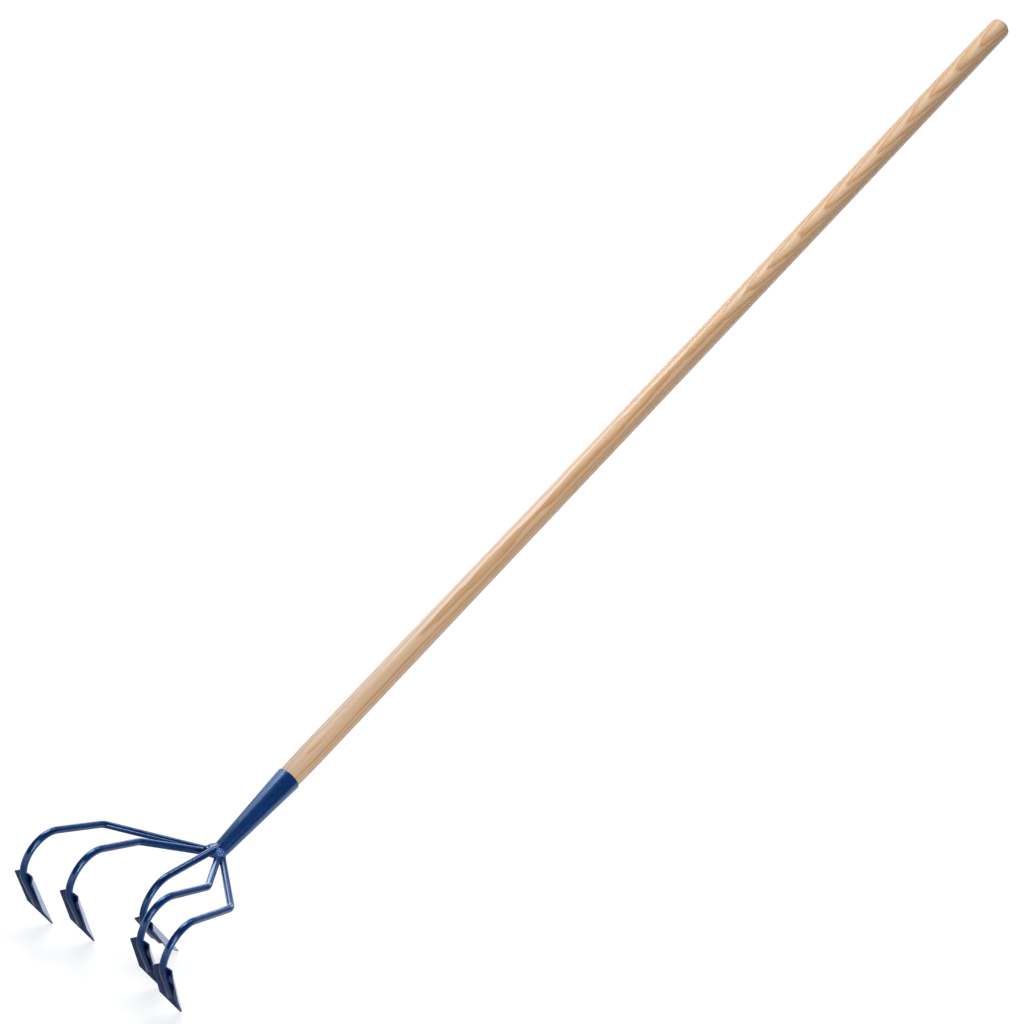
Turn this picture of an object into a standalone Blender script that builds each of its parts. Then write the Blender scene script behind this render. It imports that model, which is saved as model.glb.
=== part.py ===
import math

import bmesh
import bpy
from mathutils import Matrix, Vector

# A long-handled five-tine hand cultivator, in metres, stood on its five share tips as it works.
# +X is the worker's left, +Y runs back to the worker, +Z is up.

CLEARANCE = 0.0003

HANDLE_RISE = math.radians(43.3)
HANDLE_DIAMETER = 0.028
HANDLE_LENGTH = 1.528
HANDLE_DOME = 0.009
HANDLE_INNER_END = 0.024
HANDLE_SHOULDER = 0.034
HANDLE_SIDES = 40

SOCKET_LENGTH = 0.113
SOCKET_RIM_DIAMETER = 0.0296
SOCKET_END_DIAMETER = 0.0182
SOCKET_WALL = 0.0013
SOCKET_SIDES = 40

SCREW_FROM_RIM = 0.015
SCREW_SHANK = 0.0035
SCREW_LENGTH = 0.013
SCREW_POINT = 0.004
SCREW_HEAD_DIAMETER = 0.0076
SCREW_HEAD_HEIGHT = 0.0026
SCREW_SIDES = 20

ROD_DIAMETER = 0.008
ROD_RESOLUTION = 4
CURL_RADIUS = 0.0332
CURL_STEPS = 16
BEND_RADIUS = 0.016
BEND_STEPS = 5
ROD_TAIL = 0.0475

FAN_LEVEL = -0.0048
SIDE_CURL = math.radians(135.4)
OUTER_HUB_X = 0.0088
OUTER_HUB_Y = 0.0052
OUTER_BEND_X = 0.0914
OUTER_BEND_Y = 0.0944
OUTER_SHANK = 0.0707
OUTER_SPLAY = math.radians(4.2)
INNER_HUB_X = 0.0104
INNER_HUB_Y = 0.0172
INNER_BEND_X = 0.0492
INNER_BEND_Y = 0.0818
INNER_SHANK = 0.0628
INNER_SPLAY = math.radians(0.8)

MIDDLE_DROP = math.radians(16.5)
MIDDLE_HUB_Y = 0.0060
MIDDLE_HUB_Z = 0.0042
MIDDLE_SHANK = 0.0793
MIDDLE_CURL = math.radians(131.37)

SHARE_TOP = -0.0055
SHARE_SIDE = 0.0525
SHARE_POINT = 0.0470
SHARE_FLAT = 0.0142
SHARE_NOSE = 0.0016
SHARE_WING = 0.0081
SHARE_FOLD = math.radians(48.0)
SHARE_SHEET = 0.0016
SHARE_GAP = 0.0005

BEAD_PLACE = 0.0140
BEAD_LENGTH = 0.0180
BEAD_WIDTH = 0.0052
BEAD_SIDES = 14
BEAD_RINGS = 10

HUB_WELD_WIDTH = 0.0270
HUB_WELD_DEPTH = 0.0170
HUB_WELD_HEIGHT = 0.0150
HUB_WELD_BACK = 0.0080
HUB_WELD_LEVEL = -0.0015
HUB_WELD_SIDES = 24
HUB_WELD_RINGS = 14

ROD_RADIUS = ROD_DIAMETER / 2
HANDLE_FAR_END = HANDLE_INNER_END + HANDLE_LENGTH
SCREW_PLACE = SOCKET_LENGTH - SCREW_FROM_RIM
UP = Vector((0.0, 0.0, 1.0))
HANDLE_AXIS = Vector((0.0, math.cos(HANDLE_RISE), math.sin(HANDLE_RISE)))
HANDLE_TURN = Matrix.Rotation(HANDLE_RISE - math.pi / 2, 4, "X")

for leftover in list(bpy.data.objects):
    bpy.data.objects.remove(leftover, do_unlink=True)

parts = bpy.data.collections.new("five_tine_cultivator")
cutters = bpy.data.collections.new("cutters")
bpy.context.scene.collection.children.link(parts)
bpy.context.scene.collection.children.link(cutters)


def paint(name, colour, roughness, metallic):
    material = bpy.data.materials.new(name)
    material.use_nodes = True
    shader = material.node_tree.nodes["Principled BSDF"]
    shader.inputs["Base Color"].default_value = (colour[0], colour[1], colour[2], 1.0)
    shader.inputs["Roughness"].default_value = roughness
    shader.inputs["Metallic"].default_value = metallic
    return material


def add_part(name, mesh, colour, roughness, metallic):
    body = bpy.data.objects.new(name, mesh)
    parts.objects.link(body)
    mesh.materials.clear()
    mesh.materials.append(paint(name + "_finish", colour, roughness, metallic))
    return body


def add_cutter(name, mesh):
    body = bpy.data.objects.new(name, mesh)
    cutters.objects.link(body)
    body.hide_render = True
    body.display_type = "WIRE"
    return body


def baked_mesh(body):
    bpy.context.view_layer.update()
    depsgraph = bpy.context.evaluated_depsgraph_get()
    mesh = bpy.data.meshes.new_from_object(body.evaluated_get(depsgraph), depsgraph=depsgraph)
    work = bmesh.new()
    work.from_mesh(mesh)
    bmesh.ops.remove_doubles(work, verts=work.verts, dist=0.000001)
    bmesh.ops.recalc_face_normals(work, faces=work.faces)
    work.to_mesh(mesh)
    work.free()
    return mesh


def turned_mesh(name, profile, sides, closed):
    mesh = bpy.data.meshes.new(name)
    edges = [(i, i + 1) for i in range(len(profile) - 1)]
    if closed:
        edges.append((len(profile) - 1, 0))
    mesh.from_pydata([(radius, 0.0, height) for radius, height in profile], edges, [])
    blank = add_cutter(name + "_blank", mesh)
    screw = blank.modifiers.new("turn", "SCREW")
    screw.axis = "Z"
    screw.angle = math.tau
    screw.steps = sides
    screw.render_steps = sides
    screw.use_merge_vertices = True
    screw.merge_threshold = 0.00001
    solid = baked_mesh(blank)
    bpy.data.objects.remove(blank, do_unlink=True)
    return solid


def rod_mesh(name, points, radius):
    curve = bpy.data.curves.new(name, "CURVE")
    curve.dimensions = "3D"
    curve.bevel_depth = radius
    curve.bevel_resolution = ROD_RESOLUTION
    curve.use_fill_caps = True
    spline = curve.splines.new("POLY")
    spline.points.add(len(points) - 1)
    for place, point in zip(spline.points, points):
        place.co = (point.x, point.y, point.z, 1.0)
    blank = bpy.data.objects.new(name + "_blank", curve)
    cutters.objects.link(blank)
    solid = baked_mesh(blank)
    bpy.data.objects.remove(blank, do_unlink=True)
    return solid


def ball_mesh(name, sides, rings, size, frame):
    work = bmesh.new()
    bmesh.ops.create_uvsphere(work, u_segments=sides, v_segments=rings, radius=0.5)
    bmesh.ops.scale(work, vec=size, verts=work.verts)
    bmesh.ops.transform(work, matrix=frame, verts=work.verts)
    mesh = bpy.data.meshes.new(name)
    work.to_mesh(mesh)
    work.free()
    return mesh


def cut_away(body, tool):
    step = body.modifiers.new("cut", "BOOLEAN")
    step.operation = "DIFFERENCE"
    step.solver = "EXACT"
    step.object = tool


def settle(body):
    mesh = baked_mesh(body)
    finish = body.data.materials[0]
    body.modifiers.clear()
    body.data = mesh
    mesh.materials.clear()
    mesh.materials.append(finish)


def keep_largest(body):
    work = bmesh.new()
    work.from_mesh(body.data)
    unseen = set(work.verts)
    groups = []
    while unseen:
        queue = [unseen.pop()]
        group = list(queue)
        while queue:
            corner = queue.pop()
            for edge in corner.link_edges:
                other = edge.other_vert(corner)
                if other in unseen:
                    unseen.remove(other)
                    queue.append(other)
                    group.append(other)
        groups.append(group)
    groups.sort(key=len)
    for group in groups[:-1]:
        bmesh.ops.delete(work, geom=group, context="VERTS")
    work.to_mesh(body.data)
    work.free()


def rounded_corner(before, corner, after, radius, steps):
    back = (before - corner).normalized()
    ahead = (after - corner).normalized()
    half = back.angle(ahead) / 2
    reach = radius / math.tan(half)
    centre = corner + (back + ahead).normalized() * (radius / math.sin(half))
    first = corner + back * reach - centre
    last = corner + ahead * reach - centre
    turn = first.angle(last)
    axis = first.cross(last).normalized()
    return [centre + Matrix.Rotation(turn * i / steps, 3, axis) @ first for i in range(steps + 1)]


def curl_points(start, forward, upward, angle):
    centre = start - upward * CURL_RADIUS
    points = []
    for i in range(CURL_STEPS + 1):
        turn = angle * i / CURL_STEPS
        points.append(centre + (forward * math.sin(turn) + upward * math.cos(turn)) * CURL_RADIUS)
    return points


def side_route(side, hub_x, hub_y, bend_x, bend_y, shank, splay):
    hub = Vector((side * hub_x, -hub_y, FAN_LEVEL))
    bend = Vector((side * bend_x, -bend_y, FAN_LEVEL))
    forward = Vector((side * math.sin(splay), -math.cos(splay), 0.0))
    curl_start = bend + forward * shank
    curl = curl_points(curl_start, forward, UP, SIDE_CURL)
    tail = forward * math.cos(SIDE_CURL) - UP * math.sin(SIDE_CURL)
    elbow = rounded_corner(hub, bend, curl_start, BEND_RADIUS, BEND_STEPS)
    points = [hub] + elbow + curl + [curl[-1] + tail * ROD_TAIL]
    return points, curl[-1], tail


def middle_route():
    hub = Vector((0.0, -MIDDLE_HUB_Y, MIDDLE_HUB_Z))
    forward = Vector((0.0, -math.cos(MIDDLE_DROP), -math.sin(MIDDLE_DROP)))
    upward = Vector((0.0, -math.sin(MIDDLE_DROP), math.cos(MIDDLE_DROP)))
    curl_start = hub + forward * MIDDLE_SHANK
    curl = curl_points(curl_start, forward, upward, MIDDLE_CURL)
    tail = forward * math.cos(MIDDLE_CURL) - upward * math.sin(MIDDLE_CURL)
    points = [hub] + curl + [curl[-1] + tail * ROD_TAIL]
    return points, curl[-1], tail


def share_frame(place, tail):
    across = Vector((0.0, 0.0, 1.0)).cross(tail)
    across = -across.normalized()
    if across.x < 0:
        across = -across
    front = across.cross(tail).normalized()
    if front.y > 0:
        front = -front
    frame = Matrix((across, front, tail)).transposed().to_4x4()
    frame.translation = place
    return frame


def share_layer(depth):
    level = -(ROD_RADIUS + SHARE_GAP)
    half = SHARE_FLAT / 2
    nose = SHARE_NOSE / 2
    low = SHARE_TOP + SHARE_SIDE
    tip = low + SHARE_POINT
    fold_top = Vector((half, level, SHARE_TOP))
    fold_line = Vector((nose - half, 0.0, tip - SHARE_TOP)).normalized()
    fold = Matrix.Rotation(SHARE_FOLD, 3, fold_line)
    normal = fold @ Vector((0.0, 1.0, 0.0))
    edge = fold @ UP
    wing_top = fold_top + fold @ Vector((SHARE_WING, 0.0, 0.0))
    wing_low = wing_top + edge * SHARE_SIDE
    nose_point = Vector((nose, level, tip))
    spread = math.tan(SHARE_FOLD / 2) / fold_line.z
    back_nose = nose_point + Vector((spread, -1.0, 0.0)) * depth
    back_fold = fold_top + Vector((spread, -1.0, 0.0)) * depth
    back_top = wing_top - normal * depth
    back_top += edge * ((SHARE_TOP - back_top.z) / edge.z)
    cut = (wing_low - nose_point).cross(Vector((spread, -1.0, 0.0)))
    back_low = wing_low - normal * depth
    back_low += edge * (cut.dot(nose_point - back_low) / cut.dot(edge))
    half_outline = [back_fold, back_top, back_low, back_nose]
    mirrored = [Vector((-corner.x, corner.y, corner.z)) for corner in reversed(half_outline)]
    return half_outline + mirrored


def share_mesh(name, frame, front, back):
    work = bmesh.new()
    near = [work.verts.new(corner) for corner in share_layer(front)]
    far = [work.verts.new(corner) for corner in share_layer(back)]
    count = len(near)
    for layer in (near, far):
        work.faces.new(layer[0:4])
        work.faces.new(layer[4:8])
        work.faces.new((layer[0], layer[3], layer[4], layer[7]))
    for i in range(count):
        after = (i + 1) % count
        work.faces.new((near[i], near[after], far[after], far[i]))
    bmesh.ops.recalc_face_normals(work, faces=work.faces)
    bmesh.ops.transform(work, matrix=frame, verts=work.verts)
    mesh = bpy.data.meshes.new(name)
    work.to_mesh(mesh)
    work.free()
    return mesh


def add_bead(name, side, frame, rod_tool, share_tool):
    centre = Vector((side * (ROD_RADIUS + BEAD_WIDTH * 0.20), -ROD_RADIUS + BEAD_WIDTH * 0.28, BEAD_PLACE))
    spot = frame @ Matrix.Translation(centre)
    size = (BEAD_WIDTH, BEAD_WIDTH, BEAD_LENGTH)
    body = add_part(name, ball_mesh(name, BEAD_SIDES, BEAD_RINGS, size, spot), STEEL_BLUE, 0.35, 0.0)
    cut_away(body, share_tool)
    cut_away(body, rod_tool)
    settle(body)
    keep_largest(body)


STEEL_BLUE = (0.02, 0.05, 0.16)
WOOD = (0.70, 0.48, 0.30)
ZINC = (0.55, 0.55, 0.56)

rim_radius = SOCKET_RIM_DIAMETER / 2
end_radius = SOCKET_END_DIAMETER / 2
cone_slope = (rim_radius - end_radius) / SOCKET_LENGTH


def cone_radius(height):
    return end_radius + cone_slope * height


socket_profile = [
    (rim_radius, SOCKET_LENGTH),
    (end_radius, 0.0),
    (end_radius - SOCKET_WALL, 0.0),
    (rim_radius - SOCKET_WALL, SOCKET_LENGTH),
]
socket_mesh = turned_mesh("socket", socket_profile, SOCKET_SIDES, True)
socket_mesh.transform(HANDLE_TURN)
socket = add_part("socket", socket_mesh, STEEL_BLUE, 0.25, 0.0)

handle_radius = HANDLE_DIAMETER / 2
fit_gap = SOCKET_WALL + CLEARANCE
dome_rows = 5
handle_profile = [(0.0, HANDLE_FAR_END)]
for row in range(1, dome_rows + 1):
    lift = math.pi / 2 * (1 - row / dome_rows)
    height = HANDLE_FAR_END - HANDLE_DOME + HANDLE_DOME * math.sin(lift)
    handle_profile.append((handle_radius * math.cos(lift), height))
handle_profile += [
    (handle_radius, SOCKET_LENGTH + HANDLE_SHOULDER),
    (cone_radius(SOCKET_LENGTH) - fit_gap, SOCKET_LENGTH),
    (cone_radius(HANDLE_INNER_END) - fit_gap, HANDLE_INNER_END),
    (0.0, HANDLE_INNER_END),
]
handle_mesh = turned_mesh("handle", handle_profile, HANDLE_SIDES, False)
handle_mesh.transform(HANDLE_TURN)
handle = add_part("handle", handle_mesh, WOOD, 0.30, 0.0)

screw_seat = cone_radius(SCREW_PLACE) + CLEARANCE
head_radius = SCREW_HEAD_DIAMETER / 2
shank_radius = SCREW_SHANK / 2
screw_profile = [
    (0.0, SCREW_HEAD_HEIGHT),
    (head_radius * 0.62, SCREW_HEAD_HEIGHT * 0.90),
    (head_radius * 0.94, SCREW_HEAD_HEIGHT * 0.50),
    (head_radius, 0.0),
    (shank_radius, 0.0),
    (shank_radius, SCREW_POINT - SCREW_LENGTH),
    (0.0, -SCREW_LENGTH),
]
screw_frame = HANDLE_TURN @ Matrix.Translation((0.0, 0.0, SCREW_PLACE))
screw_frame = screw_frame @ Matrix.Rotation(math.radians(-90), 4, "X")
screw_frame = screw_frame @ Matrix.Translation((0.0, 0.0, screw_seat))
screw_mesh = turned_mesh("socket_screw", screw_profile, SCREW_SIDES, False)
screw_mesh.transform(screw_frame)
socket_screw = add_part("socket_screw", screw_mesh, ZINC, 0.35, 1.0)
hole_radius = shank_radius + CLEARANCE
hole_profile = [
    (0.0, 0.004),
    (hole_radius, 0.004),
    (hole_radius, SCREW_POINT - SCREW_LENGTH),
    (0.0, -SCREW_LENGTH - CLEARANCE * 3),
]
hole_mesh = turned_mesh("screw_hole", hole_profile, SCREW_SIDES, False)
hole_mesh.transform(screw_frame)
screw_hole = add_cutter("screw_hole", hole_mesh)
cut_away(socket, screw_hole)
settle(socket)
cut_away(handle, screw_hole)
settle(handle)

outer_sizes = (OUTER_HUB_X, OUTER_HUB_Y, OUTER_BEND_X, OUTER_BEND_Y, OUTER_SHANK, OUTER_SPLAY)
inner_sizes = (INNER_HUB_X, INNER_HUB_Y, INNER_BEND_X, INNER_BEND_Y, INNER_SHANK, INNER_SPLAY)
routes = {
    "right_outer": side_route(-1, *outer_sizes),
    "right_inner": side_route(-1, *inner_sizes),
    "middle": middle_route(),
    "left_inner": side_route(1, *inner_sizes),
    "left_outer": side_route(1, *outer_sizes),
}
rod_tools = {}
for place, (points, curl_end, tail) in routes.items():
    add_part("tine_" + place, rod_mesh("tine_" + place, points, ROD_RADIUS), STEEL_BLUE, 0.28, 0.0)
    grown = rod_mesh("room_" + place, points, ROD_RADIUS + CLEARANCE)
    rod_tools[place] = add_cutter("room_" + place, grown)
for side in ("right", "left"):
    inner = parts.objects["tine_" + side + "_inner"]
    cut_away(inner, rod_tools[side + "_outer"])
    cut_away(inner, rod_tools["middle"])
    settle(inner)
    keep_largest(inner)

for place, (points, curl_end, tail) in routes.items():
    frame = share_frame(curl_end, tail)
    add_part("share_" + place, share_mesh("share_" + place, frame, 0.0, SHARE_SHEET), STEEL_BLUE, 0.30, 0.0)
    grown = share_mesh("seat_" + place, frame, -CLEARANCE, SHARE_SHEET + 0.006)
    share_tool = add_cutter("seat_" + place, grown)
    add_bead("bead_" + place + "_left", 1, frame, rod_tools[place], share_tool)
    add_bead("bead_" + place + "_right", -1, frame, rod_tools[place], share_tool)

weld_size = (HUB_WELD_WIDTH, HUB_WELD_DEPTH, HUB_WELD_HEIGHT)
weld_frame = Matrix.Translation((0.0, -HUB_WELD_BACK, HUB_WELD_LEVEL))
weld_mesh = ball_mesh("hub_weld", HUB_WELD_SIDES, HUB_WELD_RINGS, weld_size, weld_frame)
hub_weld = add_part("hub_weld", weld_mesh, STEEL_BLUE, 0.35, 0.0)
socket_room_profile = [
    (0.0, SOCKET_LENGTH),
    (rim_radius + CLEARANCE, SOCKET_LENGTH),
    (end_radius + CLEARANCE, -CLEARANCE),
    (0.0, -CLEARANCE),
]
socket_room_mesh = turned_mesh("socket_room", socket_room_profile, SOCKET_SIDES, False)
socket_room_mesh.transform(HANDLE_TURN)
cut_away(hub_weld, add_cutter("socket_room", socket_room_mesh))
for place in routes:
    cut_away(hub_weld, rod_tools[place])
settle(hub_weld)
keep_largest(hub_weld)

corners = [corner.co for body in parts.objects for corner in body.data.vertices]
low = Vector([min(corner[i] for corner in corners) for i in range(3)])
high = Vector([max(corner[i] for corner in corners) for i in range(3)])
home = Matrix.Translation((-(low.x + high.x) / 2, -(low.y + high.y) / 2, -low.z))
for body in list(parts.objects) + list(cutters.objects):
    body.data.transform(home)
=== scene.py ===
# %% [markdown]
# # A five-tine hand cultivator
# The real tool is a long wooden handle in a blue steel socket, with five bent rods fanned out from it.
# Each rod carries a small folded share that opens the soil.
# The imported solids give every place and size, so they are loaded first and never moved.
# The lesson then builds a finer piece over each solid and gives it a finish.

import math

import bmesh
import bpy
from mathutils import Matrix, Vector, noise


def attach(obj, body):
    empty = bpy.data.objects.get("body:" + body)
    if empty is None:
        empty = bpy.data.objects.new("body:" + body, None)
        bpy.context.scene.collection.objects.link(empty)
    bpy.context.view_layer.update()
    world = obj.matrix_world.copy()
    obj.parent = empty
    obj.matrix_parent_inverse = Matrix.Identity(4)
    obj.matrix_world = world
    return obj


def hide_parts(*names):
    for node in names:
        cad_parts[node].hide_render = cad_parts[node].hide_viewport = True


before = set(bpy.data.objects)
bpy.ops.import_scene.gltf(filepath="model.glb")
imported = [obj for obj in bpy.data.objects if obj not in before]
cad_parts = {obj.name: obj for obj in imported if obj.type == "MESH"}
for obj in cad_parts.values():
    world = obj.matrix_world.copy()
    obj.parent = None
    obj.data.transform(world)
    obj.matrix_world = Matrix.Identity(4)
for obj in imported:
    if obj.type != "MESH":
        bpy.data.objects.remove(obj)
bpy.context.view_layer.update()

# %% [markdown]
# ## The camera
# The photograph was taken with a long lens from the front left of the tool, a little above it.
# The picture is also turned, so that the handle runs from corner to corner.
# A camera holds all of this in its place, its three turns and its lens, so no other trick is needed.

# %% Set up the camera
CAMERA_PLACE = (1.578, -3.1926, 1.3982)
CAMERA_TURNS = (74.601, -20.982, 32.837)
LENS_MM = 109.84
SENSOR_MM = 36.0
FURTHEST_SEEN = 200.0
scene = bpy.context.scene
scene.view_settings.view_transform = "Standard"
camera_data = bpy.data.cameras.new("photo_camera")
camera_data.sensor_width = SENSOR_MM
camera_data.lens = LENS_MM
camera_data.clip_end = FURTHEST_SEEN
camera = bpy.data.objects.new("photo_camera", camera_data)
camera.location = CAMERA_PLACE
camera.rotation_euler = [math.radians(turn) for turn in CAMERA_TURNS]
scene.collection.objects.link(camera)
scene.camera = camera
print("camera:", LENS_MM, "mm lens at", CAMERA_PLACE)

# %% [markdown]
# ## Node helpers
# A material is a small network of nodes.
# Adding a node, setting its values and wiring it are the same three lines every time.
# Four short helpers keep those lines out of the way of what the material means.


# %% Helpers for nodes
def add_node(tree, kind, settings=None, inputs=None):
    node = tree.nodes.new(kind)
    for name, value in (settings or {}).items():
        setattr(node, name, value)
    for name, value in (inputs or {}).items():
        node.inputs[name].default_value = value
    return node


def add_math(tree, operation, first, second):
    node = add_node(tree, "ShaderNodeMath", {"operation": operation})
    for place, value in enumerate((first, second)):
        if isinstance(value, (int, float)):
            node.inputs[place].default_value = value
        else:
            tree.links.new(value, node.inputs[place])
    return node.outputs[0]


def map_range(tree, value, given, wanted, smooth=False):
    kind = "SMOOTHSTEP" if smooth else "LINEAR"
    node = add_node(tree, "ShaderNodeMapRange", {"interpolation_type": kind})
    for name, number in zip(("From Min", "From Max", "To Min", "To Max"), given + wanted):
        node.inputs[name].default_value = number
    tree.links.new(value, node.inputs["Value"])
    return node.outputs["Result"]


def add_shaders(tree, first, second):
    node = add_node(tree, "ShaderNodeAddShader")
    tree.links.new(first, node.inputs[0])
    tree.links.new(second, node.inputs[1])
    return node.outputs[0]


print("node helpers are ready")

# %% [markdown]
# ## The floor
# The tool was photographed on white in a studio.
# One plain sheet is enough for the floor. It gets the object's shadow from the lamps, from any side.
# Its own glow, seen by the camera and by reflections, lifts the rest of it to white.
# The camera sees less of the glow close to the tool, so the shadow stays visible there.
# In reflections the glow is strong at a low angle and weak straight down, where the tool shades the paper.

# %% Lay the floor
FLOOR_REACH = 40.0
work = bmesh.new()
bmesh.ops.create_grid(work, x_segments=1, y_segments=1, size=FLOOR_REACH)
floor_mesh = bpy.data.meshes.new("studio_floor")
work.to_mesh(floor_mesh)
work.free()
floor = bpy.data.objects.new("studio_floor", floor_mesh)
scene.collection.objects.link(floor)
print("floor:", floor_mesh.name, "reaches", FLOOR_REACH, "m each way")

# %% Let the camera see the paper glow
WHITE = (1.0, 1.0, 1.0, 1.0)
SHADOW_REACH = (0.6, 2.4)
NEAR_AND_FAR_GLOW = (0.76, 1.0)
paper = bpy.data.materials.new("white_paper")
paper.use_nodes = True
tree = paper.node_tree
tree.nodes.clear()
rays = add_node(tree, "ShaderNodeLightPath")
where = add_node(tree, "ShaderNodeTexCoord")
away = add_node(tree, "ShaderNodeVectorMath", {"operation": "LENGTH"})
tree.links.new(where.outputs["Object"], away.inputs[0])
fade = map_range(tree, away.outputs["Value"], SHADOW_REACH, NEAR_AND_FAR_GLOW, smooth=True)
direct = add_math(tree, "MULTIPLY", rays.outputs["Is Camera Ray"], fade)
glow = add_node(tree, "ShaderNodeEmission", inputs={"Color": WHITE})
tree.links.new(direct, glow.inputs["Strength"])
print("paper: full glow from", SHADOW_REACH[1], "m outwards")

# %% Let reflections see the paper glow
COOL_WHITE = (0.80, 0.88, 1.0, 1.0)
STEEP_AND_LOW = (0.3, 0.85)
STEEP_AND_LOW_GLOW = (0.08, 1.0)
slope = add_node(tree, "ShaderNodeLayerWeight", inputs={"Blend": 0.5})
sheen = map_range(tree, slope.outputs["Facing"], STEEP_AND_LOW, STEEP_AND_LOW_GLOW, smooth=True)
mirrored = add_math(tree, "MAXIMUM", rays.outputs["Is Glossy Ray"], rays.outputs["Is Transmission Ray"])
mirrored = add_math(tree, "MULTIPLY", mirrored, sheen)
cool_glow = add_node(tree, "ShaderNodeEmission", inputs={"Color": COOL_WHITE})
tree.links.new(mirrored, cool_glow.inputs["Strength"])
print("paper: glow in reflections from", STEEP_AND_LOW_GLOW[0], "to", STEEP_AND_LOW_GLOW[1])

# %% Put the paper on the floor
PAPER_GREY = (0.34, 0.34, 0.34, 1.0)
matt = add_node(tree, "ShaderNodeBsdfDiffuse", inputs={"Color": PAPER_GREY})
glows = add_shaders(tree, glow.outputs[0], cool_glow.outputs[0])
surface = add_shaders(tree, glows, matt.outputs[0])
out = add_node(tree, "ShaderNodeOutputMaterial")
tree.links.new(surface, out.inputs["Surface"])
floor_mesh.materials.append(paper)
print("floor:", floor_mesh.name, "with", paper.name)

# %% [markdown]
# ## The lamps
# Large soft lights hang above the tool, on the left of the picture.
# Others stand in front of it, on the right of the picture and behind it.
# The panel along the handle and the two lights behind are a little blue.
# In the photograph the streaks of light on the rods are blue too.
# Point lamps would give hard shadows and tiny highlights, so each light here is an area lamp.
# It is aimed at a part of the tool and set by its brightness, whatever its size.

# %% Hang the lamps
UP = Vector((0.0, 0.0, 1.0))
HANDLE_WAY = Vector((0.0, 0.728, 0.686))
NEUTRAL = (1.0, 1.0, 1.0)
PALE_BLUE = (0.78, 0.89, 1.0)
COOL = (0.66, 0.80, 1.0)


def hang_softbox(name, place, aim, size, brightness, colour=NEUTRAL, along=UP):
    lamp = bpy.data.lights.new(name, "AREA")
    lamp.shape = "RECTANGLE"
    lamp.color = colour
    lamp.size, lamp.size_y = size
    lamp.energy = brightness * math.pi * size[0] * size[1]
    box = bpy.data.objects.new(name, lamp)
    box.location = place
    back = (Vector(place) - Vector(aim)).normalized()
    side = along.cross(back).normalized()
    box.rotation_euler = Matrix((side, back.cross(side), back)).transposed().to_euler()
    box.visible_camera = False
    scene.collection.objects.link(box)
    print("lamp:", name, round(lamp.energy, 1), "W")


hang_softbox("overhead_softbox", (-1.15, -0.35, 2.75), (0.0, -0.1, 0.45), (0.75, 2.0), 6.0)
hang_softbox("panel_softbox", (-1.144, -0.245, 1.49), (0.0, 0.334, 0.878), (1.4, 1.2), 2.4,
             PALE_BLUE, HANDLE_WAY)
hang_softbox("high_softbox", (-0.55, 1.5, 4.6), (0.0, -0.55, 0.12), (0.8, 0.8), 8.0)
hang_softbox("right_softbox", (2.7, -1.7, 0.8), (0.0, 0.1, 0.6), (1.6, 1.4), 6.4)
hang_softbox("front_softbox", (1.2, -2.9, 2.2), (0.0, -0.1, 0.5), (1.2, 1.2), 3.0)
hang_softbox("left_softbox", (-1.82, 1.27, 0.76), (0.0, -0.46, 0.12), (1.7, 0.9), 3.2, COOL)
hang_softbox("back_softbox", (-0.6, 2.4, 1.6), (0.0, -0.5, 0.12), (1.4, 0.5), 6.0, COOL)

# %% [markdown]
# ## The room
# In the photograph the coat is pale where it is seen at a low angle, and very deep where it faces the front.
# A glossy coat looks like that in a room that is bright behind the tool and dim in front of it.
# One plain colour all round could not give both, so the room's light grows from dim to bright towards the back.
# The camera itself sees plain white above the floor, from any side.

# %% Light the room
ROOM_TINT = (0.74, 0.85, 1.0, 1.0)
BACK_WAY = (-0.44, 0.86, 0.26)
SIDE_AND_BACK = (0.2, 0.85)
DIM_AND_BRIGHT = (0.06, 0.55)
world = bpy.data.worlds.new("studio_room")
world.use_nodes = True
tree = world.node_tree
room = tree.nodes["Background"]
room.inputs["Color"].default_value = ROOM_TINT
toward = add_node(tree, "ShaderNodeTexCoord")
behind = add_node(tree, "ShaderNodeVectorMath", {"operation": "DOT_PRODUCT"})
behind.inputs[1].default_value = BACK_WAY
tree.links.new(toward.outputs["Generated"], behind.inputs[0])
bright = map_range(tree, behind.outputs["Value"], SIDE_AND_BACK, DIM_AND_BRIGHT, smooth=True)
tree.links.new(bright, room.inputs["Strength"])
scene.world = world
print("room:", world.name, "from", DIM_AND_BRIGHT[0], "in front to", DIM_AND_BRIGHT[1], "behind")

# %% Show the camera plain white
rays = add_node(tree, "ShaderNodeLightPath")
backdrop = add_node(tree, "ShaderNodeBackground", inputs={"Color": WHITE, "Strength": 1.0})
seen = add_node(tree, "ShaderNodeMixShader")
tree.links.new(rays.outputs["Is Camera Ray"], seen.inputs[0])
tree.links.new(room.outputs[0], seen.inputs[1])
tree.links.new(backdrop.outputs[0], seen.inputs[2])
tree.links.new(seen.outputs[0], tree.nodes["World Output"].inputs["Surface"])
print("room: white for the camera")
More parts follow.
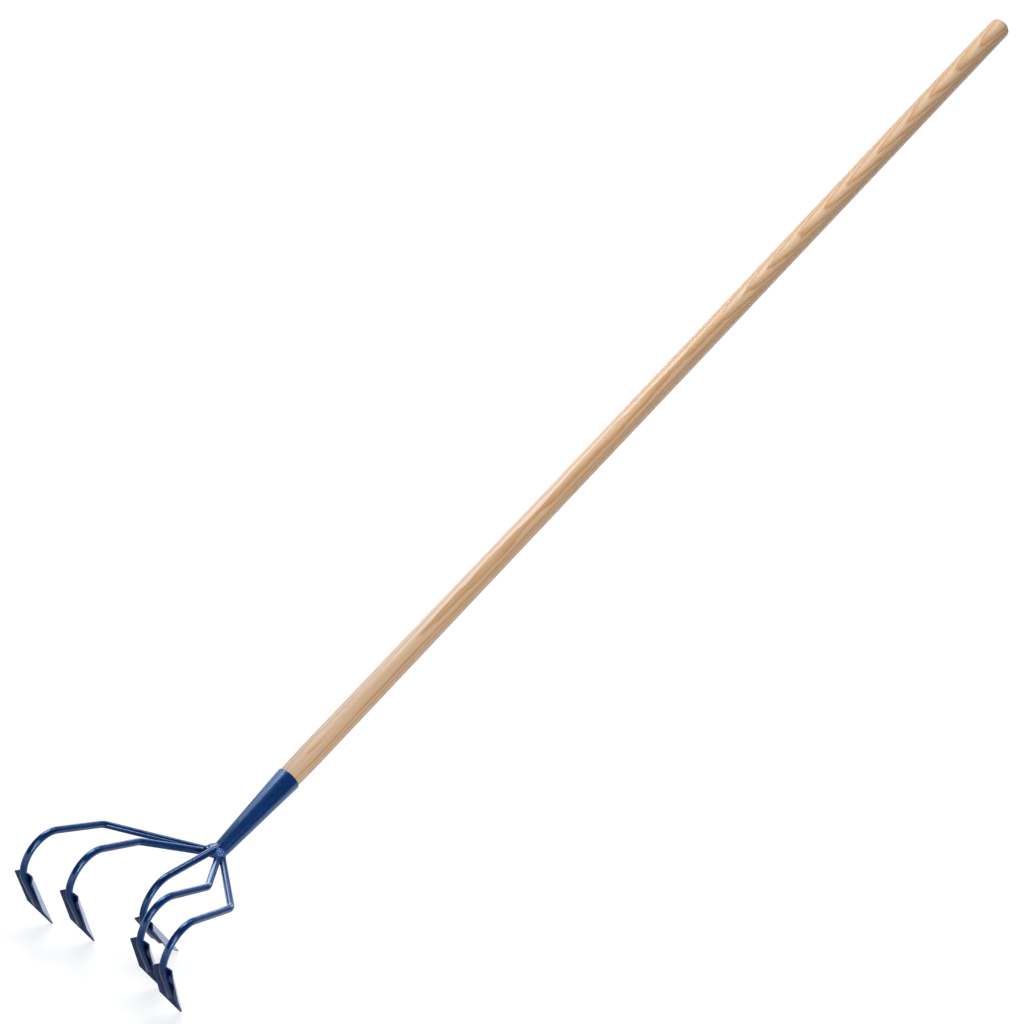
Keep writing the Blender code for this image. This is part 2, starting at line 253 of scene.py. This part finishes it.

# %% [markdown]
# ## The blue coat
# All the steel is sprayed deep blue and baked, which leaves a glossy skin with a faint ripple.
# Its colour is a little uneven, and so is its gloss.
# The socket, the rods, the shares and the welds all need this, so it is one node group.
# Each material places it with its own values. The shares get a paler blue, which is painted light on the same
# paint, and a duller gloss. The welds get a paler blue still, which is a painted highlight.

# %% Give the coat its sockets
COLOUR_SOCKET = "NodeSocketColor"
VALUE_SOCKET = "NodeSocketFloat"
coat_takes = {"Colour": COLOUR_SOCKET, "Ripple Scale": VALUE_SOCKET}
coat_takes.update({"Dull": VALUE_SOCKET, "Shiny": VALUE_SOCKET})
coat_gives = {"Colour": COLOUR_SOCKET, "Roughness": VALUE_SOCKET, "Ripple": VALUE_SOCKET}
coat = bpy.data.node_groups.new("sprayed_coat", "ShaderNodeTree")
for way, sockets in (("INPUT", coat_takes), ("OUTPUT", coat_gives)):
    for name, kind in sockets.items():
        coat.interface.new_socket(name, in_out=way, socket_type=kind)
print("node group:", coat.name, "takes", list(coat_takes), "and gives", list(coat_gives))

# %% Make the coat uneven
NOISE_SPREAD = (0.3, 0.7)
DEEP_AND_PALE = (0.84, 1.16)
given = add_node(coat, "NodeGroupInput")
result = add_node(coat, "NodeGroupOutput")
where = add_node(coat, "ShaderNodeTexCoord")
clouds = add_node(coat, "ShaderNodeTexNoise", inputs={"Scale": 55.0, "Detail": 3.0})
smears = add_node(coat, "ShaderNodeTexNoise", inputs={"Scale": 210.0, "Detail": 4.0})
ripple = add_node(coat, "ShaderNodeTexNoise", inputs={"Detail": 2.0})
for texture in (clouds, smears, ripple):
    coat.links.new(where.outputs["Object"], texture.inputs["Vector"])
coat.links.new(given.outputs["Ripple Scale"], ripple.inputs["Scale"])
coat.links.new(ripple.outputs["Fac"], result.inputs["Ripple"])
tone = map_range(coat, clouds.outputs["Fac"], NOISE_SPREAD, DEEP_AND_PALE)
shade = add_node(coat, "ShaderNodeVectorMath", {"operation": "SCALE"})
coat.links.new(given.outputs["Colour"], shade.inputs[0])
coat.links.new(tone, shade.inputs["Scale"])
coat.links.new(shade.outputs[0], result.inputs["Colour"])
spread = {"From Min": NOISE_SPREAD[0], "From Max": NOISE_SPREAD[1]}
gloss = add_node(coat, "ShaderNodeMapRange", inputs=spread)
coat.links.new(smears.outputs["Fac"], gloss.inputs["Value"])
coat.links.new(given.outputs["Shiny"], gloss.inputs["To Min"])
coat.links.new(given.outputs["Dull"], gloss.inputs["To Max"])
coat.links.new(gloss.outputs["Result"], result.inputs["Roughness"])
print("node group:", coat.name, "with", len(coat.nodes), "nodes")

# %% A helper for the blue materials
COAT_TINT = (0.30, 0.55, 1.0, 1.0)
CLEAR_ROUGHNESS = 0.05
RIPPLE_DEPTH = 0.0004


def mix_blue(name, colour, ripple_scale, shiny, dull, bump, sheen, clear):
    material = bpy.data.materials.new(name)
    material.use_nodes = True
    tree = material.node_tree
    shader = tree.nodes["Principled BSDF"]
    values = {"Colour": (*colour, 1.0), "Ripple Scale": ripple_scale, "Shiny": shiny, "Dull": dull}
    spray = add_node(tree, "ShaderNodeGroup", {"node_tree": coat}, values)
    skin = add_node(tree, "ShaderNodeBump", inputs={"Strength": bump, "Distance": RIPPLE_DEPTH})
    tree.links.new(spray.outputs["Colour"], shader.inputs["Base Color"])
    tree.links.new(spray.outputs["Roughness"], shader.inputs["Roughness"])
    tree.links.new(spray.outputs["Ripple"], skin.inputs["Height"])
    tree.links.new(skin.outputs["Normal"], shader.inputs["Normal"])
    shader.inputs["Specular IOR Level"].default_value = sheen
    shader.inputs["Specular Tint"].default_value = COAT_TINT
    shader.inputs["Coat Weight"].default_value = clear
    shader.inputs["Coat Roughness"].default_value = CLEAR_ROUGHNESS
    print("material:", name)
    return material


print("blue helper is ready")

# %% Mix the blue materials
DEEP_BLUE = (0.0010, 0.030, 0.142)
# Painted light: the shares' paler blue stands in for light that the lamps don't bring to their faces.
SHARE_BLUE_PAINTED_LIGHT = (0.018, 0.052, 0.215)
# Painted highlight: the welds' paler blue stands in for the glints on their rough surface.
WELD_BLUE_PAINTED_HIGHLIGHT = (0.045, 0.115, 0.38)
blue_socket = mix_blue("blue_socket", DEEP_BLUE, ripple_scale=420.0, shiny=0.26, dull=0.36, bump=0.08,
                       sheen=1.0, clear=0.5)
blue_rod = mix_blue("blue_rod", DEEP_BLUE, ripple_scale=520.0, shiny=0.14, dull=0.24, bump=0.10,
                    sheen=1.0, clear=0.4)
blue_share = mix_blue("blue_share", SHARE_BLUE_PAINTED_LIGHT, ripple_scale=380.0, shiny=0.32, dull=0.46, bump=0.12,
                      sheen=0.6, clear=0.9)
blue_weld = mix_blue("blue_weld", WELD_BLUE_PAINTED_HIGHLIGHT, ripple_scale=600.0, shiny=0.12, dull=0.24, bump=0.80,
                     sheen=1.0, clear=0.9)

# %% [markdown]
# ## The wood
# The handle is a pale, straight-grained wood under clear lacquer.
# Wood is a stack of yearly rings, so the figure is best made as a solid pattern that the handle cuts through.
# The rings here are nearly flat layers, turned to face up and forward.
# Low on the handle they run level with it and show as long streaks.
# High on the handle they rise through the surface, and the round wood cuts them into pointed arches.

# %% Place the wood's own axes
HUB = Vector((0.0, -0.46631, 0.12445))
HANDLE_RISE = math.radians(43.3)
HANDLE_TILT = HANDLE_RISE - math.pi / 2
wood = bpy.data.materials.new("lacquered_wood")
wood.use_nodes = True
tree = wood.node_tree
shader = tree.nodes["Principled BSDF"]
where = add_node(tree, "ShaderNodeTexCoord")
along = add_node(tree, "ShaderNodeMapping", {"vector_type": "TEXTURE"})
along.inputs["Location"].default_value = HUB
along.inputs["Rotation"].default_value = (HANDLE_TILT, 0.0, 0.0)
tree.links.new(where.outputs["Object"], along.inputs["Vector"])
grain = along.outputs["Vector"]
split = add_node(tree, "ShaderNodeSeparateXYZ")
tree.links.new(grain, split.inputs[0])
print("wood: grain runs along the handle at", round(math.degrees(HANDLE_RISE), 1), "degrees")

# %% Slope the layers
RING_FACING = (0.334, -0.943, 0.0)
ARCHES_START_AND_END = (0.92, 1.60)
LOW_AND_HIGH_RISE = (0.0006, 0.0366)
facing = add_node(tree, "ShaderNodeVectorMath", {"operation": "DOT_PRODUCT"})
facing.inputs[1].default_value = RING_FACING
tree.links.new(grain, facing.inputs[0])
rise = map_range(tree, split.outputs["Z"], ARCHES_START_AND_END, LOW_AND_HIGH_RISE)
print("wood: arches start", ARCHES_START_AND_END[0], "m from the hub")

# %% Layer the yearly rings
RING_SPACING = 0.0030
WANDER = 0.0050
WAVER = 0.0026


def stretched_noise(tree, vector, across, along_length, detail):
    stretch = add_node(tree, "ShaderNodeVectorMath", {"operation": "MULTIPLY"})
    stretch.inputs[1].default_value = (across, across, along_length)
    texture = add_node(tree, "ShaderNodeTexNoise", inputs={"Scale": 1.0, "Detail": detail})
    tree.links.new(vector, stretch.inputs[0])
    tree.links.new(stretch.outputs[0], texture.inputs["Vector"])
    return texture.outputs["Fac"]


wander = add_math(tree, "MULTIPLY", stretched_noise(tree, grain, 22.0, 5.0, 2.0), WANDER)
waver = add_math(tree, "MULTIPLY", stretched_noise(tree, grain, 150.0, 11.0, 4.0), WAVER)
depth = add_math(tree, "ADD", facing.outputs["Value"], rise)
depth = add_math(tree, "ADD", depth, wander)
depth = add_math(tree, "ADD", depth, waver)
year = add_math(tree, "FRACT", add_math(tree, "DIVIDE", depth, RING_SPACING), 0.0)
print("wood: a ring every", RING_SPACING * 1000, "mm")

# %% Colour the rings
YEAR_START = (0.76, 0.45, 0.24, 1.0)
YEAR_END = (0.83, 0.53, 0.31, 1.0)
YEAR_COLOURS = {
    0.06: (0.66, 0.35, 0.15, 1.0),
    0.20: (0.73, 0.41, 0.19, 1.0),
    0.55: (0.85, 0.555, 0.335, 1.0),
    0.95: (0.87, 0.58, 0.36, 1.0),
}
ring_colour = add_node(tree, "ShaderNodeValToRGB")
ramp = ring_colour.color_ramp
ramp.elements[0].color = YEAR_START
ramp.elements[1].color = YEAR_END
for time_of_year, colour in YEAR_COLOURS.items():
    ramp.elements.new(time_of_year).color = colour
tree.links.new(year, ring_colour.inputs["Fac"])
print("wood:", len(ramp.elements), "colours in a ring")

# %% Add the fibres and the lacquer
FIBRE_TINT = (0.90, 1.06)
FIBRE_ROUGHNESS = (0.34, 0.46)
PORE_STRENGTH = 0.12
PORE_DEPTH = 0.0003
LACQUER_WEIGHT = 0.6
LACQUER_ROUGHNESS = 0.42
fibre = stretched_noise(tree, grain, 700.0, 6.0, 3.0)
timber = add_node(tree, "ShaderNodeVectorMath", {"operation": "SCALE"})
tree.links.new(ring_colour.outputs["Color"], timber.inputs[0])
tree.links.new(map_range(tree, fibre, NOISE_SPREAD, FIBRE_TINT), timber.inputs["Scale"])
tree.links.new(timber.outputs[0], shader.inputs["Base Color"])
tree.links.new(map_range(tree, fibre, (0.0, 1.0), FIBRE_ROUGHNESS), shader.inputs["Roughness"])
pores = add_node(tree, "ShaderNodeBump", inputs={"Strength": PORE_STRENGTH, "Distance": PORE_DEPTH})
tree.links.new(fibre, pores.inputs["Height"])
tree.links.new(pores.outputs["Normal"], shader.inputs["Normal"])
shader.inputs["Coat Weight"].default_value = LACQUER_WEIGHT
shader.inputs["Coat Roughness"].default_value = LACQUER_ROUGHNESS
print("material:", wood.name, "with", len(tree.nodes), "nodes")

# %% [markdown]
# ## Finishing a piece
# Every piece ends the same way.
# Doubled points are merged, the faces are turned outwards and shaded smooth, and the mesh becomes an object.
# The object then rides on the frame's one body and stands for its solids.

# %% Helpers for pieces
SAME_POINT = 0.000002


def finish_piece(name, work, material, nodes, sharp=None):
    bmesh.ops.remove_doubles(work, verts=work.verts, dist=SAME_POINT)
    bmesh.ops.recalc_face_normals(work, faces=work.faces)
    for face in work.faces:
        face.smooth = True
    mesh = bpy.data.meshes.new(name)
    work.to_mesh(mesh)
    work.free()
    if sharp:
        mesh.set_sharp_from_angle(angle=math.radians(sharp))
    mesh.materials.append(material)
    piece = bpy.data.objects.new(name, mesh)
    scene.collection.objects.link(piece)
    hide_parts(*nodes)
    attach(piece, "root")
    triangles = sum(len(face.vertices) - 2 for face in mesh.polygons)
    print("piece:", name, triangles, "triangles")
    return piece


def dome_profile(radius, height, base, steps):
    lifts = [math.pi / 2 * (1 - step / steps) for step in range(steps + 1)]
    return [(radius * math.cos(lift), base + height * math.sin(lift)) for lift in lifts]


def turn_profile(profile, steps, closed):
    work = bmesh.new()
    spots = [work.verts.new((radius, 0.0, height)) for radius, height in profile]
    edges = [work.edges.new(pair) for pair in zip(spots, spots[1:])]
    if closed:
        edges.append(work.edges.new((spots[-1], spots[0])))
    bmesh.ops.spin(work, geom=spots + edges, cent=(0.0, 0.0, 0.0), axis=(0.0, 0.0, 1.0), angle=math.tau,
                   steps=steps, use_merge=True)
    bmesh.ops.remove_doubles(work, verts=work.verts, dist=SAME_POINT)
    return work


print("piece helpers are ready")

# %% [markdown]
# ## The handle
# The handle is a turned pole with a domed end, drawn in a little where it goes into the socket.
# Any turned shape is a profile spun round its axis.
# The profile is written upright and the finished pole is then tilted to its place.

# %% Turn the handle
POLE_RADIUS = 0.014
POLE_END = 1.552
DOME = 0.009
SOCKET_LENGTH = 0.113
SHOULDER = 0.034
NECK = 0.012
NECK_STEP = 0.0004
MOUTH_RADIUS = 0.0132
ROOT_RADIUS = 0.0095
ROOT_START = 0.030
ROUND_STEPS = 96
tilt = Matrix.Translation(HUB) @ Matrix.Rotation(HANDLE_TILT, 4, "X")
profile = dome_profile(POLE_RADIUS, DOME, POLE_END - DOME, 10)
profile += [(POLE_RADIUS, SOCKET_LENGTH + SHOULDER)]
profile += [(MOUTH_RADIUS + NECK_STEP, SOCKET_LENGTH + NECK)]
profile += [(MOUTH_RADIUS, SOCKET_LENGTH), (ROOT_RADIUS, ROOT_START), (0.0, ROOT_START)]
work = turn_profile(profile, ROUND_STEPS, False)
bmesh.ops.transform(work, matrix=tilt, verts=work.verts)
finish_piece("wooden_handle", work, wood, ["handle"], sharp=50)

# %% [markdown]
# ## The socket
# The socket is a steel cone that grips the pole, open at both ends.
# Its wall is thin, so the rim shows as a narrow rounded lip round the wood.
# A plain cone has no wall, so the wall's cross-section is spun as a closed loop.
# The lip's edges are then bevelled round.

# %% Turn the socket
RIM_RADIUS = 0.0148
SMALL_RADIUS = 0.0091
WALL = 0.0013
LIP_ROUNDING = 0.0005
HAIR = 0.0001
profile = [(RIM_RADIUS, SOCKET_LENGTH), (SMALL_RADIUS, 0.0)]
profile += [(SMALL_RADIUS - WALL, 0.0), (RIM_RADIUS - WALL, SOCKET_LENGTH)]
work = turn_profile(profile, ROUND_STEPS, True)
lip = [edge for edge in work.edges if min(corner.co.z for corner in edge.verts) > SOCKET_LENGTH - HAIR]
lip = [edge for edge in lip if abs(edge.verts[0].co.xy.length - edge.verts[1].co.xy.length) < HAIR]
bmesh.ops.bevel(work, geom=lip, offset=LIP_ROUNDING, segments=4, profile=0.5, affect="EDGES", material=-1)
bmesh.ops.transform(work, matrix=tilt, verts=work.verts)
finish_piece("steel_socket", work, blue_socket, ["socket"], sharp=40)

# %% [markdown]
# ## The tines
# Each tine is one round rod: straight from the hub, bent forward, then curled down and back.
# A pipe-bender makes it in the same order, run by run and turn by turn, and so do these cells.
# A ring of points is extruded for each straight run and spun for each bend.
# A curve with a round section could do this too, but a spin keeps the radius of every bend exact.

# %% Helpers for bending rods
ROD_SIDES = 40


def start_rod(place, heading, radius):
    work = bmesh.new()
    ring_frame = Matrix.Translation(place) @ heading.to_track_quat("Z", "Y").to_matrix().to_4x4()
    bmesh.ops.create_circle(work, cap_ends=True, segments=ROD_SIDES, radius=radius, matrix=ring_frame)
    return work, list(work.edges), Vector(place), Vector(heading)


def run_on(work, edges, place, heading, length):
    grown = bmesh.ops.extrude_edge_only(work, edges=edges)["geom"]
    corners = [item for item in grown if isinstance(item, bmesh.types.BMVert)]
    bmesh.ops.translate(work, verts=corners, vec=heading * length)
    fresh = set(corners)
    edges = [edge for edge in work.edges if edge.verts[0] in fresh and edge.verts[1] in fresh]
    return edges, place + heading * length, heading


def turn_on(work, edges, place, heading, axis, radius, angle, steps):
    centre = place + axis.cross(heading) * radius
    spun = bmesh.ops.spin(work, geom=edges, cent=centre, axis=axis, angle=angle, steps=steps)
    edges = [item for item in spun["geom_last"] if isinstance(item, bmesh.types.BMEdge)]
    turn = Matrix.Rotation(angle, 3, axis)
    return edges, centre + turn @ (place - centre), turn @ heading


print("rod helpers are ready")

# %% A helper for one whole rod
ROD_RADIUS = 0.004
ELBOW_RADIUS = 0.016
ELBOW_STEPS = 10
CURL_RADIUS = 0.0332
CURL_STEPS = 36
ROD_TAIL = 0.0475
END_ROUNDING = 0.0008
share_seats = {}


def bend_rod(place, hub, corner, forward, upward, shank, curl):
    first = (corner - hub).normalized() if corner else forward
    work, edges, spot, heading = start_rod(hub, first, ROD_RADIUS)
    if corner:
        angle = first.angle(forward)
        reach = ELBOW_RADIUS * math.tan(angle / 2)
        axis = first.cross(forward).normalized()
        edges, spot, heading = run_on(work, edges, spot, heading, (corner - hub).length - reach)
        edges, spot, heading = turn_on(work, edges, spot, heading, axis, ELBOW_RADIUS, angle, ELBOW_STEPS)
        shank -= reach
    edges, spot, heading = run_on(work, edges, spot, heading, shank)
    sideways = heading.cross(-upward).normalized()
    edges, spot, heading = turn_on(work, edges, spot, heading, sideways, CURL_RADIUS, curl, CURL_STEPS)
    share_seats[place] = (spot, heading)
    edges, spot, heading = run_on(work, edges, spot, heading, ROD_TAIL)
    bmesh.ops.contextual_create(work, geom=edges)
    rim = [edge for edge in edges if edge.is_valid]
    bmesh.ops.bevel(work, geom=rim, offset=END_ROUNDING, segments=3, profile=0.5, affect="EDGES", material=-1)
    finish_piece("rod_" + place, work, blue_rod, ["tine_" + place], sharp=50)


print("rods:", ROD_RADIUS * 2000, "mm thick")

# %% Bend the four side rods
SIDE_CURL = math.radians(135.4)
SIDE_RODS = {
    "_outer": ((0.0088, -0.0052, -0.0048), (0.0914, -0.0944, -0.0048), math.radians(4.2), 0.0707),
    "_inner": ((0.0104, -0.0172, -0.0048), (0.0492, -0.0818, -0.0048), math.radians(0.8), 0.0628),
}


def beside_hub(side, step):
    return HUB + Vector((side * step[0], step[1], step[2]))


for side, word in ((-1, "right"), (1, "left")):
    for ending, (start, elbow, splay, shank) in SIDE_RODS.items():
        forward = Vector((side * math.sin(splay), -math.cos(splay), 0.0))
        hub, corner = beside_hub(side, start), beside_hub(side, elbow)
        bend_rod(word + ending, hub, corner, forward, UP, shank, SIDE_CURL)

# %% Bend the middle rod
MIDDLE_DROP = math.radians(16.5)
MIDDLE_CURL = math.radians(131.37)
MIDDLE_START = Vector((0.0, -0.0060, 0.0042))
MIDDLE_SHANK = 0.0793
forward = Vector((0.0, -math.cos(MIDDLE_DROP), -math.sin(MIDDLE_DROP)))
upward = Vector((0.0, -math.sin(MIDDLE_DROP), math.cos(MIDDLE_DROP)))
bend_rod("middle", HUB + MIDDLE_START, None, forward, upward, MIDDLE_SHANK, MIDDLE_CURL)

# %% [markdown]
# ## The shares
# A share starts as a flat steel blank with a point.
# Two fold lines run from its top edge and meet near the point, and both sides are folded forward along them.
# That leaves a long narrow trough for the rod, stiff enough to be pushed through soil.
# The cells follow the sheet worker: cut the blank, score the folds, fold the wings, then add the thickness.
# A block could be carved to this form, but a folded sheet has the same thickness everywhere.

# %% Cut the blank of a share
PLATE_TOP = -0.0055
PLATE_SIDE = 0.0525
PLATE_POINT = 0.0470
HALF_FLAT = 0.0071
HALF_NOSE = 0.0008
WING = 0.0081
PLATE_LEVEL = -0.0045


def cut_blank():
    work = bmesh.new()
    wide = HALF_FLAT + WING
    low = PLATE_TOP + PLATE_SIDE
    tip = low + PLATE_POINT
    half = [(wide, PLATE_TOP), (wide, low), (HALF_NOSE, tip)]
    outline = half + [(-x, z) for x, z in reversed(half)]
    work.faces.new([work.verts.new((x, PLATE_LEVEL, z)) for x, z in outline])
    return work


print("blank:", (HALF_FLAT + WING) * 2000, "mm wide,", (PLATE_SIDE + PLATE_POINT) * 1000, "mm long")

# %% Helpers for folding a share
FOLD = math.radians(48.0)
ON_THE_LINE = 0.00001
CUT_WIDTH = 0.000001


def share_frame(place, heading):
    across = UP.cross(heading).normalized()
    if across.x < 0:
        across = -across
    front = across.cross(heading).normalized()
    if front.y > 0:
        front = -front
    seat = Matrix((across, front, heading)).transposed().to_4x4()
    seat.translation = place
    return seat


def cut_across(work, place, normal):
    everything = list(work.verts) + list(work.edges) + list(work.faces)
    bmesh.ops.bisect_plane(work, geom=everything, dist=CUT_WIDTH, plane_co=place, plane_no=normal)


def fold_wing(work, side):
    start = Vector((side * HALF_FLAT, PLATE_LEVEL, PLATE_TOP))
    line = Vector((side * (HALF_NOSE - HALF_FLAT), 0.0, PLATE_SIDE + PLATE_POINT)).normalized()
    outward = Vector((0.0, 1.0, 0.0)).cross(line) * side
    cut_across(work, start, outward)
    wing = [corner for corner in work.verts if (corner.co - start).dot(outward) > ON_THE_LINE]
    bmesh.ops.rotate(work, verts=wing, cent=start, matrix=Matrix.Rotation(side * FOLD, 3, line))


print("fold: each wing by", round(math.degrees(FOLD), 1), "degrees")

# %% A helper for one whole share
SHEET = 0.0016
FOLD_ROUNDING = 0.0007
FOLD_SHOWS = 0.4
RIM_ROUNDING = 0.0003
RIM_SHOWS = 1.0


def edges_over(work, angle):
    return [edge for edge in work.edges if len(edge.link_faces) == 2 and edge.calc_face_angle() > angle]


def fold_share(place):
    work = cut_blank()
    fold_wing(work, -1)
    fold_wing(work, 1)
    bmesh.ops.bevel(work, geom=edges_over(work, FOLD_SHOWS), offset=FOLD_ROUNDING, segments=4, profile=0.5,
                    affect="EDGES", material=-1)
    bmesh.ops.recalc_face_normals(work, faces=work.faces)
    middle = max(work.faces, key=lambda face: abs(face.normal.y))
    if middle.normal.y < 0:
        bmesh.ops.reverse_faces(work, faces=work.faces)
    bmesh.ops.solidify(work, geom=work.faces, thickness=SHEET)
    bmesh.ops.bevel(work, geom=edges_over(work, RIM_SHOWS), offset=RIM_ROUNDING, segments=2, profile=0.5,
                    affect="EDGES", material=-1)
    low = min(corner.co.y for corner in work.verts)
    bmesh.ops.transform(work, matrix=share_frame(*share_seats[place]), verts=work.verts)
    piece = finish_piece("plate_" + place, work, blue_share, ["share_" + place], sharp=60)
    piece.modifiers.new("even_shading", "WEIGHTED_NORMAL")
    print("share:", place, "back at", round(low * 1000, 2), "mm")


print("sheet:", SHEET * 1000, "mm thick")

# %% Fold the five shares
for place in share_seats:
    fold_share(place)

# %% [markdown]
# ## The welds
# Two short beads hold each rod to its plate, and one larger mass joins the rods and the socket.
# A weld freezes in ripples, so a plain ellipsoid looks wrong.
# Each one starts as a sphere with many rings, is stretched, and is then pushed in and out by soft noise.

# %% A helper for the welds
RIPPLE_PITCH = 0.0024
RIPPLE_HEIGHT = 0.00012
LUMPS_PER_METRE = 260.0
GRAINS_PER_METRE = 900.0
GRAIN_SHARE = 0.25
SEED_STEP = 37.0


def lay_weld(name, nodes, frame_here, size, lump_height, rings):
    work = bmesh.new()
    bmesh.ops.create_uvsphere(work, u_segments=rings, v_segments=rings * 2, radius=0.5)
    bmesh.ops.scale(work, vec=size, verts=work.verts)
    seed = Vector(frame_here.translation) * SEED_STEP
    for corner in work.verts:
        outward = Vector([reach / width ** 2 for reach, width in zip(corner.co, size)])
        outward.normalize()
        ripple = math.sin(corner.co.z * math.tau / RIPPLE_PITCH) * RIPPLE_HEIGHT
        lump = noise.noise(corner.co * LUMPS_PER_METRE + seed) * lump_height
        lump += noise.noise(corner.co * GRAINS_PER_METRE + seed) * lump_height * GRAIN_SHARE
        corner.co += outward * (ripple + lump)
    bmesh.ops.transform(work, matrix=frame_here, verts=work.verts)
    finish_piece(name, work, blue_weld, nodes)


print("weld helper is ready")

# %% Lay the weld beads
BEAD_SIZE = (0.0046, 0.0044, 0.0170)
BEAD_LUMPS = 0.0004
BEAD_DOWN = 0.0140
BEAD_GAP = 0.0003
BEAD_LIFT = 0.0007
for place, (spot, heading) in share_seats.items():
    seat = share_frame(spot, heading)
    for side, word in ((1, "left"), (-1, "right")):
        middle = Vector((side * (ROD_RADIUS + BEAD_GAP), -ROD_RADIUS + BEAD_LIFT, BEAD_DOWN))
        spot_frame = seat @ Matrix.Translation(middle)
        name = place + "_" + word
        lay_weld("weld_" + name, ["bead_" + name], spot_frame, BEAD_SIZE, BEAD_LUMPS, rings=28)

# %% Build up the weld at the hub
HUB_WELD_SIZE = (0.0150, 0.0170, 0.0270)
HUB_WELD_STEP = Vector((0.0, -0.0080, -0.0015))
HUB_LUMPS = 0.0018
hub_frame = Matrix.Translation(HUB + HUB_WELD_STEP) @ Matrix.Rotation(math.pi / 2, 4, "Y")
lay_weld("weld_hub", ["hub_weld"], hub_frame, HUB_WELD_SIZE, HUB_LUMPS, rings=64)

# %% [markdown]
# ## The zinc
# A small screw is usually zinc-plated, which leaves a grey metal with a fine, slightly uneven spangle.
# One noise gives both its colour and its gloss, and the paler spots are the duller ones.
# Metallic is a plain number here, because it is the same all over.

# %% Plate the screw
SPANGLE_SCALE = 900.0
DARK_ZINC = (0.42, 0.43, 0.45, 1.0)
LIGHT_ZINC = (0.66, 0.67, 0.69, 1.0)
ZINC_ROUGHNESS = (0.24, 0.44)
zinc = bpy.data.materials.new("zinc_screw")
zinc.use_nodes = True
tree = zinc.node_tree
shader = tree.nodes["Principled BSDF"]
where = add_node(tree, "ShaderNodeTexCoord")
spangle = add_node(tree, "ShaderNodeTexNoise", inputs={"Scale": SPANGLE_SCALE, "Detail": 3.0})
tree.links.new(where.outputs["Object"], spangle.inputs["Vector"])
metal = add_node(tree, "ShaderNodeValToRGB")
metal.color_ramp.elements[0].color = DARK_ZINC
metal.color_ramp.elements[1].color = LIGHT_ZINC
tree.links.new(spangle.outputs["Fac"], metal.inputs["Fac"])
tree.links.new(metal.outputs["Color"], shader.inputs["Base Color"])
tarnish = map_range(tree, spangle.outputs["Fac"], (0.0, 1.0), ZINC_ROUGHNESS)
tree.links.new(tarnish, shader.inputs["Roughness"])
shader.inputs["Metallic"].default_value = 1.0
print("material:", zinc.name)

# %% [markdown]
# ## The socket screw
# One small screw under the socket stops the handle from working loose. It is a guess, since none is in view.
# Its head is a turned dome with a straight slot.
# The slot is made by cutting the dome with two planes and pressing the strip between them down.

# %% Turn the screw
HEAD_RADIUS = 0.0038
HEAD_HEIGHT = 0.0026
SHANK_RADIUS = 0.00175
SHANK_END = -0.009
SCREW_TIP = -0.013
profile = dome_profile(HEAD_RADIUS, HEAD_HEIGHT, 0.0, 6)
profile += [(SHANK_RADIUS, 0.0), (SHANK_RADIUS, SHANK_END), (0.0, SCREW_TIP)]
work = turn_profile(profile, 48, False)
print("screw: head", HEAD_RADIUS * 2000, "mm across")

# %% Press the slot into the screw
HALF_SLOT = 0.0005
SLOT_DEPTH = 0.0009
SLOT_FLOOR = 0.0008
for side in (-1, 1):
    cut_across(work, (side * HALF_SLOT, 0.0, 0.0), (1.0, 0.0, 0.0))
strip = [face for face in work.faces if abs(face.calc_center_median().x) < HALF_SLOT]
strip = [face for face in strip if face.calc_center_median().z > SLOT_FLOOR]
pressed = bmesh.ops.extrude_face_region(work, geom=strip)["geom"]
corners = [item for item in pressed if isinstance(item, bmesh.types.BMVert)]
bmesh.ops.translate(work, verts=corners, vec=(0.0, 0.0, -SLOT_DEPTH))
bmesh.ops.delete(work, geom=[face for face in strip if face.is_valid], context="FACES_ONLY")
print("screw: slot", HALF_SLOT * 2000, "mm wide")

# %% Drive the screw in
SCREW_PLACE = 0.098
SCREW_GAP = 0.0003
seat_radius = SMALL_RADIUS + (RIM_RADIUS - SMALL_RADIUS) * SCREW_PLACE / SOCKET_LENGTH + SCREW_GAP
screw_frame = tilt @ Matrix.Translation((0.0, 0.0, SCREW_PLACE)) @ Matrix.Rotation(-math.pi / 2, 4, "X")
screw_frame = screw_frame @ Matrix.Translation((0.0, 0.0, seat_radius))
bmesh.ops.transform(work, matrix=screw_frame, verts=work.verts)
finish_piece("round_screw", work, zinc, ["socket_screw"], sharp=35)
